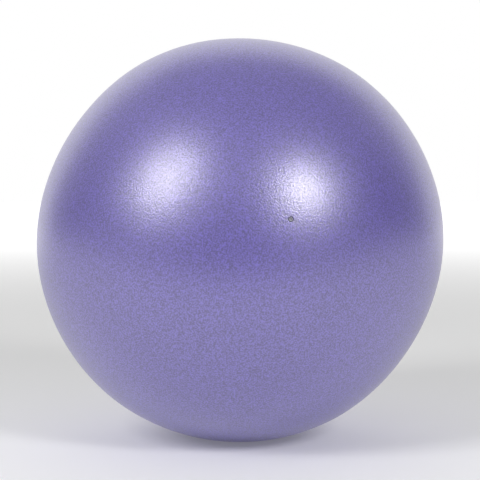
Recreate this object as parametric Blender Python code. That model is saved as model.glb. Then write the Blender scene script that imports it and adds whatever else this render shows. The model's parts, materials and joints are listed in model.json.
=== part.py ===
"""Soft inflatable exercise ball, 250 mm across, at rest on a flat floor.

Three pieces: a thin hollow shell moulded in one, a valve insert bonded under its wall, and the plug in the valve.
Frame: metres, +Z up, +Y away from the side that the valve is on, origin on the floor under the ball's centre.
"""

import math

import bpy

MM = 0.001

# Shell.
BALL_RADIUS = 125.0 * MM  # of the free, round part
WALL = 0.65 * MM  # soft PVC, stretched evenly
CONTACT_RADIUS = 14.0 * MM  # flat patch that the ball's weight presses against the floor
SHOULDER_RADIUS = 70.0 * MM  # gentle bend between the flat patch and the round part

# Valve. Depths are measured inwards along its axis, from the ball's curve.
VALVE_SIDE = math.radians(12.7)  # turned from the front (-Y) towards +X
VALVE_RISE = math.radians(8.0)  # above the ball's middle
MOUTH_RADIUS = 1.45 * MM  # hole in the shell, and the recess for the plug's head
SEAT_DEPTH = 2.0 * MM
BORE_TOP_RADIUS = 0.95 * MM  # a 2 mm inflating needle stretches it
BORE_END_RADIUS = 0.80 * MM
BOND_GAP = 0.45 * MM  # between the shell's inside and the insert's flange
FLANGE_RADIUS = 8.0 * MM
FLANGE_THICK = 1.2 * MM
TUBE_RADIUS = 3.0 * MM
TUBE_DEPTH = 13.0 * MM
CORNER = 0.3 * MM  # worn and moulded corners of the insert

# Plug.
HEAD_RADIUS = 1.3 * MM
HEAD_DEPTH = 0.2 * MM  # how far the head's face lies inside the ball's curve
HEAD_EDGE = 0.2 * MM  # rounding round the face
SEAT_GAP = 0.15 * MM  # under the head
SHANK_GAP = 0.3 * MM  # between shank and bore, away from the ribs
RIB_GAP = 0.1 * MM  # between a sealing rib and the bore
RIB_WIDTH = 0.8 * MM
RIB_DEPTHS = (4.0 * MM, 7.0 * MM, 10.0 * MM)
PLUG_DEPTH = 14.5 * MM

# Fineness of the round surfaces.
SHELL_STEPS = 60
SHELL_ARC_STEP = math.radians(6.0)
SHOULDER_STEPS = 4
VALVE_STEPS = 24
CORNER_STEPS = 3

# The shoulder's arc meets the floor where the flat patch ends, and meets the round part without a kink.
CENTRE_HEIGHT = SHOULDER_RADIUS + math.sqrt((BALL_RADIUS - SHOULDER_RADIUS) ** 2 - CONTACT_RADIUS**2)
SHOULDER_ANGLE = math.asin(CONTACT_RADIUS / (BALL_RADIUS - SHOULDER_RADIUS))


def clear_scene():
    for obj in list(bpy.data.objects):
        bpy.data.objects.remove(obj)


def link(obj, parent=None):
    bpy.context.scene.collection.objects.link(obj)
    obj.parent = parent


def give_material(obj, name, colour, roughness):
    finish = bpy.data.materials.new(name)
    finish.use_nodes = True
    shader = finish.node_tree.nodes["Principled BSDF"]
    shader.inputs["Base Color"].default_value = (*colour, 1.0)
    shader.inputs["Roughness"].default_value = roughness
    shader.inputs["Metallic"].default_value = 0.0
    obj.data.materials.append(finish)


def arc(centre, radius, start, end, steps):
    """Points (x, z) of an arc. Angles are measured from straight down, towards +X."""
    points = []
    for i in range(steps + 1):
        angle = start + (end - start) * i / steps
        points.append((centre[0] + radius * math.sin(angle), centre[1] - radius * math.cos(angle)))
    return points


def turned(name, profile, steps, parent=None, closed=False):
    """An object made by turning a profile of (x, z) points round Z. The profile runs down its outer side."""
    count = len(profile)
    edges = [(i, i + 1) for i in range(count - 1)]
    if closed:
        edges.append((count - 1, 0))
    mesh = bpy.data.meshes.new(name)
    mesh.from_pydata([(x, 0.0, z) for x, z in profile], edges, [])
    obj = bpy.data.objects.new(name, mesh)
    link(obj, parent)
    screw = obj.modifiers.new("Turn", "SCREW")
    screw.steps = steps
    screw.render_steps = steps
    screw.use_merge_vertices = True
    screw.merge_threshold = 0.01 * MM
    screw.use_smooth_shade = True
    return obj


def shell_profile():
    """The outer surface: round part from the top down, shoulder, then the flat patch in to the middle."""
    centre = (0.0, CENTRE_HEIGHT)
    upper = arc(centre, BALL_RADIUS, math.pi, math.pi / 2, round(math.pi / 2 / SHELL_ARC_STEP))
    lower_steps = round((math.pi / 2 - SHOULDER_ANGLE) / SHELL_ARC_STEP)
    lower = arc(centre, BALL_RADIUS, math.pi / 2, SHOULDER_ANGLE, lower_steps)
    shoulder = arc((CONTACT_RADIUS, SHOULDER_RADIUS), SHOULDER_RADIUS, SHOULDER_ANGLE, 0.0, SHOULDER_STEPS)
    return upper + lower[1:] + shoulder[1:] + [(0.0, 0.0)]


def add_shell(valve_axis):
    shell = turned("ball_shell", shell_profile(), SHELL_STEPS)
    wall = shell.modifiers.new("Wall", "SOLIDIFY")
    wall.thickness = WALL
    wall.offset = -1.0
    cutter = turned(
        "mouth_cutter",
        [(0.0, SEAT_DEPTH), (MOUTH_RADIUS, SEAT_DEPTH), (MOUTH_RADIUS, -SEAT_DEPTH), (0.0, -SEAT_DEPTH)],
        VALVE_STEPS,
        valve_axis,
    )
    cutter.hide_render = True
    cutter.display_type = "WIRE"
    mouth = shell.modifiers.new("Valve mouth", "BOOLEAN")
    mouth.operation = "DIFFERENCE"
    mouth.solver = "EXACT"
    mouth.object = cutter
    return shell


def add_valve_axis():
    """An empty where the valve's axis leaves the ball, its own Z pointing outwards."""
    out = (
        math.sin(VALVE_SIDE) * math.cos(VALVE_RISE),
        -math.cos(VALVE_SIDE) * math.cos(VALVE_RISE),
        math.sin(VALVE_RISE),
    )
    axis = bpy.data.objects.new("valve_axis", None)
    link(axis)
    axis.location = (BALL_RADIUS * out[0], BALL_RADIUS * out[1], CENTRE_HEIGHT + BALL_RADIUS * out[2])
    axis.rotation_euler = (math.pi / 2 - VALVE_RISE, 0.0, VALVE_SIDE)
    return axis


def under_shell(radius):
    """Height, in the valve's frame, of the surface that lies BOND_GAP inside the wall."""
    return math.sqrt(BALL_RADIUS**2 - radius**2) - BALL_RADIUS - WALL - BOND_GAP


def bore_radius(depth):
    """The bore narrows evenly from the seat to the tube's end."""
    share = (depth - SEAT_DEPTH) / (TUBE_DEPTH - SEAT_DEPTH)
    return BORE_TOP_RADIUS + (BORE_END_RADIUS - BORE_TOP_RADIUS) * share


def add_insert(valve_axis):
    """Bonding flange with a tube hanging from it. The outline goes down the outside and back up the bore."""
    flange_base = under_shell(FLANGE_RADIUS) - FLANGE_THICK
    outline = [
        (MOUTH_RADIUS, under_shell(MOUTH_RADIUS)),
        (FLANGE_RADIUS, under_shell(FLANGE_RADIUS)),
        (FLANGE_RADIUS, flange_base + CORNER),
        (FLANGE_RADIUS - CORNER, flange_base),
        (TUBE_RADIUS + CORNER, flange_base),
        (TUBE_RADIUS, flange_base - CORNER),
        (TUBE_RADIUS, -TUBE_DEPTH + CORNER),
        (TUBE_RADIUS - CORNER, -TUBE_DEPTH),
        (BORE_END_RADIUS, -TUBE_DEPTH),
        (BORE_TOP_RADIUS, -SEAT_DEPTH),
        (MOUTH_RADIUS, -SEAT_DEPTH),
    ]
    return turned("valve_insert", outline, VALVE_STEPS, valve_axis, closed=True)


def add_plug(valve_axis):
    """Flat head in its seat, a thin tapered shank with sealing ribs, and a round tip past the tube's end."""
    underside = SEAT_GAP - SEAT_DEPTH
    edge_centre = (HEAD_RADIUS - HEAD_EDGE, -HEAD_DEPTH - HEAD_EDGE)
    head = [(0.0, -HEAD_DEPTH)] + arc(edge_centre, HEAD_EDGE, math.pi, math.pi / 2, CORNER_STEPS)
    head += [(HEAD_RADIUS, underside), (BORE_TOP_RADIUS - SHANK_GAP, underside)]
    shank = []
    for middle in RIB_DEPTHS:
        for share, gap in ((-0.5, SHANK_GAP), (-0.2, RIB_GAP), (0.2, RIB_GAP), (0.5, SHANK_GAP)):
            depth = middle + share * RIB_WIDTH
            shank.append((bore_radius(depth) - gap, -depth))
    tip_radius = BORE_END_RADIUS - SHANK_GAP
    tip = arc((0.0, tip_radius - PLUG_DEPTH), tip_radius, math.pi / 2, 0.0, CORNER_STEPS)
    return turned("valve_plug", head + shank + tip, VALVE_STEPS, valve_axis)


def build():
    clear_scene()
    valve_axis = add_valve_axis()
    give_material(add_shell(valve_axis), "pearl_violet_pvc", (0.12, 0.096, 0.375), 0.40)
    give_material(add_insert(valve_axis), "violet_pvc", (0.14, 0.11, 0.33), 0.5)
    give_material(add_plug(valve_axis), "grey_polyethylene", (0.30, 0.31, 0.32), 0.45)


build()
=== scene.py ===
"""Looks of a soft exercise ball: frosted pearl skin, valve insert and plug, in a plain white studio."""

import json
import math

import bpy
from mathutils import Matrix, Vector, noise


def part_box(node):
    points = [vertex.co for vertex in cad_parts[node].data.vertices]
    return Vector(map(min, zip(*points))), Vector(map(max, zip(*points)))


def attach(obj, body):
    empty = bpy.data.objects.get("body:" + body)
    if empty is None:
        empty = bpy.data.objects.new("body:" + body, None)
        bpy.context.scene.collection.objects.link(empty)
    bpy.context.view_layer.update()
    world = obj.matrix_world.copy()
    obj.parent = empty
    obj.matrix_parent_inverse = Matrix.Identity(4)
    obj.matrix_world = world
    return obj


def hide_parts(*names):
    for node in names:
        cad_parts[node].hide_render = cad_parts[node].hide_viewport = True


MM = 0.001

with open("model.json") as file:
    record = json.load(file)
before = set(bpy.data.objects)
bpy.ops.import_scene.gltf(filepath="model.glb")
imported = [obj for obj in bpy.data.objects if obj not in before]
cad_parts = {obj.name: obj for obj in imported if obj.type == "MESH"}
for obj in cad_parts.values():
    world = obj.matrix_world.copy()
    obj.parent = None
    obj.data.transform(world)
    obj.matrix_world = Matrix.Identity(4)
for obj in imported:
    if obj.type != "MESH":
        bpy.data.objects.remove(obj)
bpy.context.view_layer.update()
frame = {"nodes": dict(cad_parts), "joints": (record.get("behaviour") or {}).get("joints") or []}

# The ball's own sizes, read from the CAD shell.
shell_low, shell_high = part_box("ball_shell")
RADIUS = (shell_high.x - shell_low.x) / 2
CENTRE = Vector((0.0, 0.0, shell_high.z - RADIUS))
FLOOR_TOLERANCE = 0.01 * MM
shell_mesh = frame["nodes"]["ball_shell"].data
FOOT_RADIUS = max(math.hypot(v.co.x, v.co.y) for v in shell_mesh.vertices if v.co.z < FLOOR_TOLERANCE)
# The bend between the flat foot and the round part meets both without a kink.
BEND_RADIUS = (RADIUS**2 - FOOT_RADIUS**2 - CENTRE.z**2) / (2 * (RADIUS - CENTRE.z))
VALVE_OUT = Vector(frame["joints"][0]["axis"]).normalized()

# Shell and valve, as in the CAD model. Depths run inwards from the ball's curve.
WALL = 0.65 * MM
MOUTH_RADIUS = 1.45 * MM
SEAT_DEPTH = 2.0 * MM
BORE_TOP_RADIUS = 0.95 * MM
BORE_END_RADIUS = 0.80 * MM
FLANGE_RADIUS = 8.0 * MM
FLANGE_THICK = 1.2 * MM
TUBE_RADIUS = 3.0 * MM
TUBE_DEPTH = 13.0 * MM
HEAD_RADIUS = 1.3 * MM
HEAD_DEPTH = 0.2 * MM
HEAD_EDGE = 0.2 * MM
SEAT_GAP = 0.15 * MM  # under the plug's head
PLUG_DEPTH = 14.5 * MM
RIB_DEPTHS = (4.0 * MM, 7.0 * MM, 10.0 * MM)
RIB_HALF_WIDTH = 0.4 * MM
RIB_GAP = 0.1 * MM
SHANK_GAP = 0.3 * MM

# Shape of the real skin.
OUT_OF_ROUND = (  # lobes round the Y axis: count, height, angle of one crest above +X
    (2, 0.63 * MM, math.radians(32)),
    (3, 0.10 * MM, math.radians(-20)),
    (4, 0.30 * MM, math.radians(17)),
    (6, 0.30 * MM, math.radians(-3)),
)
UNEVEN_HEIGHT = 0.07 * MM
UNEVEN_SIZE = 24.0 * MM
# Angles where the unevenness starts and where it is whole, from straight down and from the valve's axis.
FOOT_FADE = (math.radians(8), math.radians(28))
VALVE_FADE = (math.radians(1.5), math.radians(14))
SEAM_HEIGHT = 0.07 * MM
SEAM_HALF_WIDTH = 0.45 * MM
SEAM_WAVES = 9.0  # how quickly its height changes along its length
LIP = 0.25 * MM  # rounding at the mouth's edge

# Rounded edges of the insert and the plug.
INSERT_EDGE = 0.35 * MM
INSERT_FILLET = 1.0 * MM  # where the tube meets the flange
INSERT_FACE_RADII = (1.45, 2.5, 4.0, 5.5, 7.0)  # mm, where the bonded face follows the skin
BORE_EDGE = 0.12 * MM
DIMPLE_RADIUS = 0.55 * MM  # moulding mark in the plug's head
DIMPLE_DEPTHS = (0.12 * MM, 0.10 * MM)  # in its middle, and at DIMPLE_FLOOR of its radius
DIMPLE_FLOOR = 0.6
HEAD_CHAMFER = 0.08 * MM
SHANK_FLARE = 0.1 * MM

# Fineness of the meshes.
SEGMENTS = 256  # round each ring of the skin
VALVE_SEGMENTS = 96
LIP_STEPS = 6
INNER_STEP = math.radians(3.0)  # between rings inside the skin
RING_FINEST = 0.12 * MM  # between rings next to the mouth
RING_GROWTH = 0.12  # wider per unit of distance from the mouth
RING_WIDEST = 1.9 * MM
RING_AT_SEAM = 0.16 * MM
SEAM_MARGIN = 1.5  # the fine rings reach this many half widths from the parting line
SEAM_APPROACH = 0.35  # largest step, as a share of the distance left to them
POLE_GAP = 1.2 * MM  # no ring is nearer to the far pole
EDGE_STEPS = 5
FILLET_STEPS = 6
HEAD_STEPS = 6
TIP_STEPS = 8
RIB_STEPS = 4  # on each side of a rib's crest

# Finish of the skin.
GRAIN_SIZE = 0.85 * MM
GRAIN_HEIGHT = 0.10 * MM
GRAIN_NOISE = (0.3, 0.7)  # the noise values that count as pits and as crests
SKIN_COLOUR = (0.124, 0.096, 0.395)
# Pigment mottle and painted shade: the colour is darker in the grain's pits and lighter on its crests.
GRAIN_MOTTLE_AND_PAINTED_SHADE = (0.55, 1.45)  # of that colour, from the grain's pits to its crests
CLOUD_SIZE = 40.0 * MM
CLOUD_SHADE = (0.95, 1.05)
GRAIN_ROUGHNESS = (0.46, 0.38)  # from pits to crests
WORN_SIZE = 6.0 * MM
WORN_ROUGHNESS = (-0.03, 0.03)  # added in soft patches
PEARL_IOR = 2.3
PEARL_TINT = (0.95, 0.93, 1.0)
COAT_ROUGHNESS = 0.32
COAT_IOR = 1.5

# Studio. Levels are relative to white paper in full light.
ROOM_PLUS = (0.02, 0.05, 0.39)  # towards +X, +Y, +Z
ROOM_MINUS = (0.17, 0.11, 0.0)  # towards -X, -Y, -Z
BACKDROP_EDGE = math.cos(math.radians(52))  # a round backdrop behind the ball, this far from its middle
BACKDROP_SOFT = 0.07
BACKDROP_LEVEL = 0.90
# Left, right, front, back. It ends close in front of the ball, to light it less from below.
FLOOR_EDGES = (-6.0, 6.0, -0.5, 6.0)
PAPER_TONES = ((0.80, 0.80, 0.80), (0.84, 0.84, 0.84))
PAPER_ROUGHNESS = 0.9
GLOW_NEAR, GLOW_FAR = 0.14, 0.85  # the paper's own light, by the ball and away from it
GLOW_START, GLOW_END = 0.3, 3.0  # metres from the ball
SOFTBOXES = (  # name, (azimuth, elevation in degrees, distance in metres), (width, height), radiance, roll
    ("key_left", (-45.0, 32.0, 1.6), (0.50, 0.80), 9.6, -28.0),
    ("key_right", (36.0, 27.2, 1.6), (0.35, 0.40), 24.3, 0.0),
    ("rim_left", (-125.0, 35.0, 2.2), (1.4, 1.6), 0.15, 0.0),
    ("rim_right", (120.0, 25.0, 2.2), (1.2, 1.6), 0.25, 0.0),
)
LENS = 100.0
SENSOR = 36.0
CAMERA_ELEVATION = math.radians(3.0)
BALL_SHARE = 0.843  # of the picture's width


def smoothstep(low, high, value):
    share = min(max((value - low) / (high - low), 0.0), 1.0)
    return share * share * (3.0 - 2.0 * share)


# ---------------------------------------------------------------- node helpers


def new_material(name):
    material = bpy.data.materials.new(name)
    material.use_nodes = True
    return material, material.node_tree.nodes, material.node_tree.links


def add_node(nodes, kind, **values):
    """A node. Each keyword sets the property of that name or, where there is none, the input."""
    node = nodes.new(kind)
    for key, value in values.items():
        if hasattr(node, key):
            setattr(node, key, value)
        else:
            node.inputs[key.replace("_", " ").title()].default_value = value
    return node


def maths(nodes, links, operation, a, b):
    """A Math node. Each of a and b is a socket."""
    node = nodes.new("ShaderNodeMath")
    node.operation = operation
    links.new(a, node.inputs[0])
    links.new(b, node.inputs[1])
    return node.outputs[0]


def vector_maths(nodes, links, operation, a, b):
    """A Vector Math node. Each of a and b is a tuple or a socket."""
    node = nodes.new("ShaderNodeVectorMath")
    node.operation = operation
    for slot, value in enumerate((a, b)):
        if isinstance(value, tuple):
            node.inputs[slot].default_value = value
        else:
            links.new(value, node.inputs[slot])
    return node.outputs["Value" if operation == "DOT_PRODUCT" else "Vector"]


def mapped(nodes, links, value, low, high, start=0.0, end=1.0, smooth=False):
    """The value's start to end spread over low to high."""
    node = nodes.new("ShaderNodeMapRange")
    if smooth:
        node.interpolation_type = "SMOOTHSTEP"
    links.new(value, node.inputs["Value"])
    node.inputs["From Min"].default_value = start
    node.inputs["From Max"].default_value = end
    node.inputs["To Min"].default_value = low
    node.inputs["To Max"].default_value = high
    return node.outputs["Result"]


def blended(nodes, links, share, first, second):
    """A colour between two, by a socket from 0 to 1."""
    node = nodes.new("ShaderNodeMix")
    node.data_type = "RGBA"
    links.new(share, node.inputs["Factor"])
    node.inputs["A"].default_value = (*first, 1.0)
    node.inputs["B"].default_value = (*second, 1.0)
    return node.outputs["Result"]


def object_place(nodes):
    return add_node(nodes, "ShaderNodeTexCoord").outputs["Object"]


def noise_field(nodes, links, coordinates, size, detail, roughness=0.5):
    node = add_node(nodes, "ShaderNodeTexNoise", scale=1.0 / size, detail=detail, roughness=roughness)
    links.new(coordinates, node.inputs["Vector"])
    return node.outputs["Fac"]


def bump(nodes, links, height, distance):
    node = add_node(nodes, "ShaderNodeBump", distance=distance)
    links.new(height, node.inputs["Height"])
    return node.outputs["Normal"]


# ---------------------------------------------------------------- materials


def pearl_skin():
    """Soft PVC with pearl pigment: violet body, bluish lustre, and a clear coat with a leathery grain
    whose pits are painted darker and crests lighter.
    """
    material, nodes, links = new_material("pearl_violet_pvc")
    shader = nodes["Principled BSDF"]
    place = object_place(nodes)

    pits = noise_field(nodes, links, place, GRAIN_SIZE, 0.5)
    normal = bump(nodes, links, pits, GRAIN_HEIGHT)
    links.new(normal, shader.inputs["Normal"])
    links.new(normal, shader.inputs["Coat Normal"])

    clouds = noise_field(nodes, links, place, CLOUD_SIZE, 4.0, 0.6)
    cloud_shade = mapped(nodes, links, clouds, *CLOUD_SHADE)
    # Painted shade in the grain's pits and painted light on its crests, with the pigment's mottle.
    grain_mottle_and_painted_shade = mapped(nodes, links, pits, *GRAIN_MOTTLE_AND_PAINTED_SHADE, *GRAIN_NOISE)
    tone = add_node(nodes, "ShaderNodeVectorMath", operation="SCALE")
    tone.inputs[0].default_value = SKIN_COLOUR
    links.new(maths(nodes, links, "MULTIPLY", cloud_shade, grain_mottle_and_painted_shade), tone.inputs["Scale"])
    links.new(tone.outputs["Vector"], shader.inputs["Base Color"])

    worn = mapped(nodes, links, noise_field(nodes, links, place, WORN_SIZE, 3.0), *WORN_ROUGHNESS)
    grain_rough = mapped(nodes, links, pits, *GRAIN_ROUGHNESS, *GRAIN_NOISE)
    links.new(maths(nodes, links, "ADD", worn, grain_rough), shader.inputs["Roughness"])

    shader.inputs["IOR"].default_value = PEARL_IOR
    shader.inputs["Specular Tint"].default_value = (*PEARL_TINT, 1.0)
    shader.inputs["Coat Weight"].default_value = 1.0
    shader.inputs["Coat Roughness"].default_value = COAT_ROUGHNESS
    shader.inputs["Coat IOR"].default_value = COAT_IOR
    return material


def moulded_plastic(name, tones, roughness, cloud_size, mark_size, mark_detail, mark_height):
    """Plain moulded plastic, a little cloudy in colour and gloss, with fine flow marks."""
    material, nodes, links = new_material(name)
    shader = nodes["Principled BSDF"]
    place = object_place(nodes)
    clouds = noise_field(nodes, links, place, cloud_size, 3.0)
    links.new(blended(nodes, links, clouds, *tones), shader.inputs["Base Color"])
    links.new(mapped(nodes, links, clouds, *roughness), shader.inputs["Roughness"])
    marks = noise_field(nodes, links, place, mark_size, mark_detail)
    links.new(bump(nodes, links, marks, mark_height), shader.inputs["Normal"])
    return material


def plain_pvc():
    """The insert: the same PVC without pearl, slightly waxy."""
    return moulded_plastic(
        "violet_pvc",
        tones=((0.12, 0.09, 0.30), (0.16, 0.12, 0.36)),
        roughness=(0.45, 0.60),
        cloud_size=3.0 * MM,
        mark_size=0.25 * MM,
        mark_detail=3.0,
        mark_height=0.012 * MM,
    )


def plug_plastic():
    """Grey polyethylene, slightly glossier than the insert."""
    return moulded_plastic(
        "grey_polyethylene",
        tones=((0.19, 0.19, 0.22), (0.25, 0.25, 0.285)),
        roughness=(0.38, 0.52),
        cloud_size=1.2 * MM,
        mark_size=0.12 * MM,
        mark_detail=2.0,
        mark_height=0.005 * MM,
    )


def floor_paper():
    """White paper. It glows a little by the ball and more away from it, where the lights don't reach."""
    material, nodes, links = new_material("white_paper")
    shader = nodes["Principled BSDF"]
    place = object_place(nodes)
    clouds = noise_field(nodes, links, place, 0.5, 3.0)
    links.new(blended(nodes, links, clouds, *PAPER_TONES), shader.inputs["Base Color"])
    shader.inputs["Roughness"].default_value = PAPER_ROUGHNESS
    shader.inputs["Emission Color"].default_value = (1.0, 1.0, 1.0, 1.0)
    away = add_node(nodes, "ShaderNodeVectorMath", operation="LENGTH")
    links.new(place, away.inputs[0])
    distance = away.outputs["Value"]
    glow = mapped(nodes, links, distance, GLOW_NEAR, GLOW_FAR, GLOW_START, GLOW_END, smooth=True)
    links.new(glow, shader.inputs["Emission Strength"])
    return material


# ---------------------------------------------------------------- pieces


def link_mesh(name, vertices, faces, material):
    mesh = bpy.data.meshes.new(name)
    mesh.from_pydata(vertices, [], faces)
    mesh.materials.append(material)
    mesh.shade_smooth()
    obj = bpy.data.objects.new(name, mesh)
    bpy.context.scene.collection.objects.link(obj)
    return obj


def valve_turn():
    """Turns +Z to the valve's axis."""
    return VALVE_OUT.to_track_quat("Z", "Y").to_matrix()


def ring_faces(rings, segments, closed=False):
    """Quads between rings of vertices that are numbered one after another."""
    faces = []
    for i in range(rings if closed else rings - 1):
        a = i * segments
        b = (i + 1) % rings * segments
        for j in range(segments):
            k = (j + 1) % segments
            faces.append((b + j, b + k, a + k, a + j))
    return faces


def fan_faces(pole, first, segments, forwards):
    """Triangles between a pole and a ring of vertices that are numbered from first."""
    faces = []
    for j in range(segments):
        here, after = first + j, first + (j + 1) % segments
        faces.append((pole, here, after) if forwards else (pole, after, here))
    return faces


def from_straight_down(direction):
    return math.acos(max(-1.0, min(1.0, -direction.z)))


def free_surface(direction):
    """Distance from the ball's centre to its smooth resting surface."""
    down = from_straight_down(direction)
    bend_end = math.asin(FOOT_RADIUS / (RADIUS - BEND_RADIUS))
    if down >= bend_end:
        return RADIUS
    if down <= math.atan(FOOT_RADIUS / CENTRE.z):
        return CENTRE.z / math.cos(down)
    across, below = FOOT_RADIUS, CENTRE.z - BEND_RADIUS
    along = across * math.sin(down) + below * math.cos(down)
    return along + math.sqrt(along**2 - across**2 - below**2 + BEND_RADIUS**2)


def unevenness(direction):
    """How far the blown-up skin stands out from the smooth surface. Fades at the foot and at the valve."""
    wave = complex(direction.x, direction.z)
    out = sum(
        height * (wave**count * complex(math.cos(count * crest), -math.sin(count * crest))).real
        for count, height, crest in OUT_OF_ROUND
    )
    out += UNEVEN_HEIGHT * noise.noise(direction * (RADIUS / UNEVEN_SIZE))
    off_foot = smoothstep(*FOOT_FADE, from_straight_down(direction))
    off_valve = smoothstep(*VALVE_FADE, direction.angle(VALVE_OUT))
    return out * off_foot * off_valve


def seam(angle, turn):
    """The mould's parting line: a low ridge half way round from the valve, uneven along its length."""
    off = (angle - math.pi / 2) * RADIUS / SEAM_HALF_WIDTH
    if abs(off) >= 1.0:
        return 0.0
    along = noise.noise(Vector((math.cos(turn), math.sin(turn), 0.0)) * SEAM_WAVES)
    return SEAM_HEIGHT * (1.0 + 0.5 * along) * (1.0 - off * off) ** 2


def skin_rings():
    """(angle from the valve's axis, depth) of each ring, from the mouth over the ball to the far side."""
    mouth = MOUTH_RADIUS / RADIUS
    rings = []
    for i in range(LIP_STEPS):
        turn = math.pi / 2 * i / LIP_STEPS
        rings.append((mouth + LIP / RADIUS * (1 - math.cos(turn)), LIP * (1 - math.sin(turn))))
    angle = mouth + LIP / RADIUS
    near_seam = SEAM_MARGIN * SEAM_HALF_WIDTH / RADIUS
    while angle < math.pi - POLE_GAP / RADIUS:
        rings.append((angle, 0.0))
        wide = min(RING_WIDEST, RING_FINEST + RING_GROWTH * (angle - mouth) * RADIUS) / RADIUS
        to_seam = abs(angle - math.pi / 2)
        angle += min(wide, max(RING_AT_SEAM / RADIUS, SEAM_APPROACH * (to_seam - near_seam)))
    return rings


def ball_skin(material):
    """The hollow skin as one closed surface: outside, mouth, inside. Its rings circle the valve's axis."""
    turn_to_row = valve_turn()
    outer = skin_rings()
    mouth = MOUTH_RADIUS / RADIUS
    inner = [(mouth + i * INNER_STEP, WALL) for i in range(int((math.pi - mouth) / INNER_STEP))]
    vertices = []

    def add_ring(angle, depth, on_outside):
        for j in range(SEGMENTS):
            turn = 2 * math.pi * j / SEGMENTS
            across = math.sin(angle)
            local = Vector((across * math.cos(turn), across * math.sin(turn), math.cos(angle)))
            direction = turn_to_row @ local
            height = free_surface(direction) + unevenness(direction) - depth
            if on_outside:
                height += seam(angle, turn)
            vertices.append(CENTRE + direction * height)

    for angle, depth in reversed(inner):
        add_ring(angle, depth, False)
    for angle, depth in outer:
        add_ring(angle, depth, True)
    count = len(inner) + len(outer)
    faces = ring_faces(count, SEGMENTS)
    far = -VALVE_OUT
    for depth, ring, inside in ((WALL, 0, True), (0.0, count - 1, False)):
        vertices.append(CENTRE + far * (free_surface(far) + unevenness(far) - depth))
        faces += fan_faces(len(vertices) - 1, ring * SEGMENTS, SEGMENTS, forwards=inside)
    return link_mesh("ball_skin", vertices, faces, material)


def arc(centre, radius, start, end, steps):
    """Points (x, z) of an arc. Angles are measured from straight down, towards +X."""
    points = []
    for i in range(steps + 1):
        angle = start + (end - start) * i / steps
        points.append((centre[0] + radius * math.sin(angle), centre[1] - radius * math.cos(angle)))
    return points


def turned(name, profile, material, closed):
    """A round piece on the valve's axis, from (x, z) points that run down its outer side.

    z is 0 on the ball's curve.
    """
    place = Matrix.Translation(CENTRE + RADIUS * VALVE_OUT) @ valve_turn().to_4x4()
    rings = profile if closed else profile[1:-1]
    vertices = []
    for x, z in rings:
        for j in range(VALVE_SEGMENTS):
            turn = 2 * math.pi * j / VALVE_SEGMENTS
            vertices.append(place @ Vector((x * math.cos(turn), x * math.sin(turn), z)))
    faces = ring_faces(len(rings), VALVE_SEGMENTS, closed)
    if not closed:
        for (x, z), ring, top in ((profile[0], 0, True), (profile[-1], len(rings) - 1, False)):
            vertices.append(place @ Vector((x, 0.0, z)))
            faces += fan_faces(len(vertices) - 1, ring * VALVE_SEGMENTS, VALVE_SEGMENTS, forwards=top)
    return link_mesh(name, vertices, faces, material)


def bore_radius(depth):
    share = (depth - SEAT_DEPTH) / (TUBE_DEPTH - SEAT_DEPTH)
    return BORE_TOP_RADIUS + (BORE_END_RADIUS - BORE_TOP_RADIUS) * share


def under_skin(radius):
    """Height on the valve's axis scale of the skin's inner face, where the flange is bonded."""
    return math.sqrt(RADIUS**2 - radius**2) - RADIUS - WALL


def valve_insert(material):
    """Bonded face, flange and tube on the way down, then back up the bore to the mouth."""
    base = under_skin(FLANGE_RADIUS) - FLANGE_THICK
    rim = FLANGE_RADIUS - INSERT_EDGE
    outline = [(x * MM, under_skin(x * MM)) for x in INSERT_FACE_RADII]
    outline += arc((rim, under_skin(rim) - INSERT_EDGE), INSERT_EDGE, math.pi, math.pi / 2, EDGE_STEPS)
    outline += arc((rim, base + INSERT_EDGE), INSERT_EDGE, math.pi / 2, 0.0, EDGE_STEPS)
    fillet_centre = (TUBE_RADIUS + INSERT_FILLET, base - INSERT_FILLET)
    outline += arc(fillet_centre, INSERT_FILLET, math.pi, 1.5 * math.pi, FILLET_STEPS)
    tube_edge = (TUBE_RADIUS - INSERT_EDGE, INSERT_EDGE - TUBE_DEPTH)
    outline += arc(tube_edge, INSERT_EDGE, math.pi / 2, 0.0, EDGE_STEPS)
    outline += [(BORE_END_RADIUS + BORE_EDGE, -TUBE_DEPTH), (BORE_END_RADIUS, BORE_EDGE - TUBE_DEPTH)]
    outline += [(BORE_TOP_RADIUS, -SEAT_DEPTH - BORE_EDGE), (BORE_TOP_RADIUS + BORE_EDGE, -SEAT_DEPTH)]
    outline += [(MOUTH_RADIUS - BORE_EDGE, -SEAT_DEPTH), (MOUTH_RADIUS, BORE_EDGE - SEAT_DEPTH)]
    return turned("valve_body", outline, material, closed=True)


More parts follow.
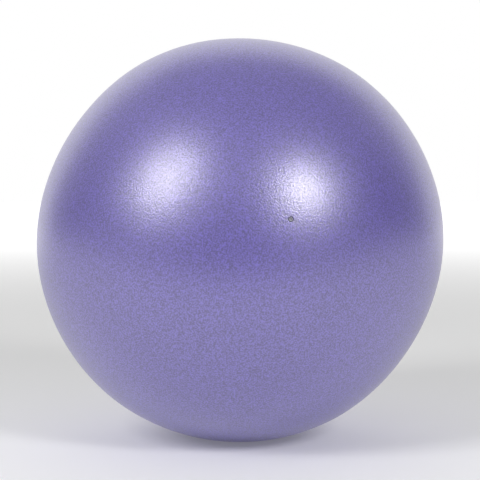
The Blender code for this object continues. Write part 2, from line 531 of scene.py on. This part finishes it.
def valve_plug(material):
    """Dimpled head, tapered shank with sealing ribs, and a round tip."""
    underside = SEAT_GAP - SEAT_DEPTH
    middle_depth, floor_depth = DIMPLE_DEPTHS
    outline = [(0.0, -HEAD_DEPTH - middle_depth)]
    outline += [(DIMPLE_RADIUS * DIMPLE_FLOOR, -HEAD_DEPTH - floor_depth), (DIMPLE_RADIUS, -HEAD_DEPTH)]
    head_edge = (HEAD_RADIUS - HEAD_EDGE, -HEAD_DEPTH - HEAD_EDGE)
    outline += arc(head_edge, HEAD_EDGE, math.pi, math.pi / 2, HEAD_STEPS)
    outline += [(HEAD_RADIUS, underside + HEAD_CHAMFER), (HEAD_RADIUS - HEAD_CHAMFER, underside)]
    outline += [(BORE_TOP_RADIUS - SHANK_GAP + SHANK_FLARE, underside)]
    for middle in RIB_DEPTHS:
        for i in range(2 * RIB_STEPS + 1):
            across = (i - RIB_STEPS) / RIB_STEPS
            depth = middle + across * RIB_HALF_WIDTH
            gap = SHANK_GAP + (RIB_GAP - SHANK_GAP) * (1 - across**2)
            outline.append((bore_radius(depth) - gap, -depth))
    tip = BORE_END_RADIUS - SHANK_GAP
    outline += arc((0.0, tip - PLUG_DEPTH), tip, math.pi / 2, 0.0, TIP_STEPS)
    return turned("air_plug", outline, material, closed=False)


# ---------------------------------------------------------------- studio


def add_floor():
    left, right, front, back = FLOOR_EDGES
    floor = link_mesh(
        "floor",
        [(left, front, 0.0), (right, front, 0.0), (right, back, 0.0), (left, back, 0.0)],
        [(0, 1, 2, 3)],
        floor_paper(),
    )


def add_softbox(name, azimuth, elevation, distance, width, height, radiance, roll):
    """A soft light aimed at the ball. Azimuth 0 is in front (-Y), 90 on the +X side, in degrees."""
    light = bpy.data.lights.new(name, "AREA")
    light.shape = "RECTANGLE"
    light.size = width
    light.size_y = height
    light.energy = radiance * math.pi * width * height
    obj = bpy.data.objects.new(name, light)
    bpy.context.scene.collection.objects.link(obj)
    side, rise = math.radians(azimuth), math.radians(elevation)
    out = Vector((math.sin(side) * math.cos(rise), -math.cos(side) * math.cos(rise), math.sin(rise)))
    obj.location = CENTRE + out * distance
    obj.rotation_mode = "QUATERNION"
    rolled = Matrix.Rotation(math.radians(roll), 3, "Z").to_quaternion()
    obj.rotation_quaternion = out.to_track_quat("Z", "Y") @ rolled
    obj.visible_camera = False


def add_world():
    """A soft room: one brightness along each axis, blended between them, and a backdrop behind the ball.

    The camera itself sees plain white where it looks past the floor.
    """
    world = bpy.data.worlds.new("studio")
    world.use_nodes = True
    nodes, links = world.node_tree.nodes, world.node_tree.links
    direction = add_node(nodes, "ShaderNodeTexCoord").outputs["Generated"]
    level = None
    for side, levels in ((1.0, ROOM_PLUS), (-1.0, ROOM_MINUS)):
        facing = vector_maths(nodes, links, "MULTIPLY", direction, (side, side, side))
        facing = vector_maths(nodes, links, "MAXIMUM", facing, (0.0, 0.0, 0.0))
        squared = vector_maths(nodes, links, "MULTIPLY", facing, facing)
        part = vector_maths(nodes, links, "DOT_PRODUCT", squared, levels)
        level = part if level is None else maths(nodes, links, "ADD", level, part)
    towards = vector_maths(nodes, links, "DOT_PRODUCT", direction, (0.0, 1.0, 0.0))
    inner, outer = BACKDROP_EDGE + BACKDROP_SOFT, BACKDROP_EDGE - BACKDROP_SOFT
    backdrop = mapped(nodes, links, towards, 0.0, BACKDROP_LEVEL, outer, inner, smooth=True)
    level = maths(nodes, links, "ADD", level, backdrop)
    seen = add_node(nodes, "ShaderNodeLightPath").outputs["Is Camera Ray"]
    shown = maths(nodes, links, "MAXIMUM", level, seen)
    links.new(shown, nodes["Background"].inputs["Strength"])
    nodes["Background"].inputs["Color"].default_value = (1.0, 1.0, 1.0, 1.0)
    bpy.context.scene.world = world


def add_camera():
    data = bpy.data.cameras.new("camera")
    data.lens = LENS
    data.sensor_width = SENSOR
    camera = bpy.data.objects.new("camera", data)
    bpy.context.scene.collection.objects.link(camera)
    half_angle = math.atan(BALL_SHARE * SENSOR / 2 / LENS)
    distance = RADIUS / math.sin(half_angle)
    back = Vector((0.0, -math.cos(CAMERA_ELEVATION), math.sin(CAMERA_ELEVATION)))
    camera.location = CENTRE + back * distance
    camera.rotation_mode = "QUATERNION"
    camera.rotation_quaternion = back.to_track_quat("Z", "Y")
    bpy.context.scene.camera = camera


def build():
    add_camera()
    skin = ball_skin(pearl_skin())
    insert = valve_insert(plain_pvc())
    plug = valve_plug(plug_plastic())
    for piece, body, node, slot in (
        (skin, "ball", "ball_shell", "shell"),
        (insert, "ball", "valve_insert", "valve"),
        (plug, "plug", "valve_plug", "plug"),
    ):
        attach(piece, body)
        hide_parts(node)

    add_floor()
    add_world()
    for name, place, size, radiance, roll in SOFTBOXES:
        add_softbox(name, *place, *size, radiance, roll)
    bpy.context.scene.view_settings.view_transform = "Standard"


build()
